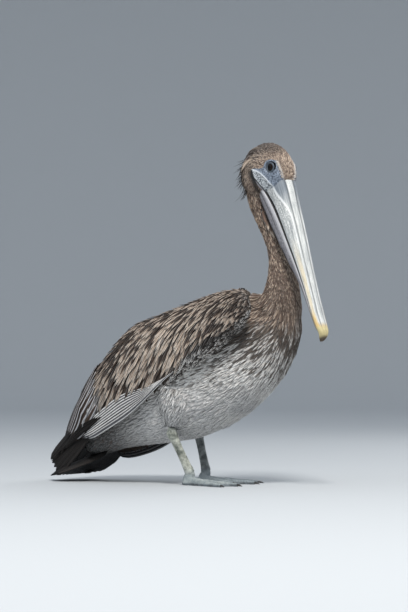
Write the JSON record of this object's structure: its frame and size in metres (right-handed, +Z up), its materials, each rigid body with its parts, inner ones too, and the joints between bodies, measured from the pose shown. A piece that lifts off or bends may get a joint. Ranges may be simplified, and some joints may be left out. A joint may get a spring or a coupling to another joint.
{
  "type": "brown pelican",
  "caption": "Immature brown pelican standing at rest, neck upright, head turned right, long bill laid down the front of the neck, wings folded.",
  "frame": {"origin": "on the ground, under the middle of the bird's bounding box", "axes": "+Z up, the bird faces -Y, +X is the bird's own left"},
  "size_m": [0.1952, 0.6044, 0.6075],
  "materials": {
    "head_plumage": "matte",
    "neck_plumage": "matte",
    "body_plumage": "matte",
    "wing_plumage": "matte",
    "flight_feather": "satin",
    "bill": "satin",
    "pouch": "satin",
    "eye": "gloss",
    "leg_skin": "satin",
    "foot_skin": "satin"
  },
  "bodies": {
    "root": {"trunk": "body_plumage", "neck": "neck_plumage", "head": "head_plumage", "eye_r": "eye", "eye_l": "eye", "bill_upper": "bill", "bill_lower_pouch": "pouch", "thigh_r": "body_plumage", "thigh_l": "body_plumage", "shank_r": "leg_skin", "shank_l": "leg_skin", "foot_r": "foot_skin", "foot_l": "foot_skin", "wing_r": "wing_plumage", "wing_l": "wing_plumage", "primaries_r": "flight_feather", "primaries_l": "flight_feather", "tail": "flight_feather"}
  },
  "joints": []
}
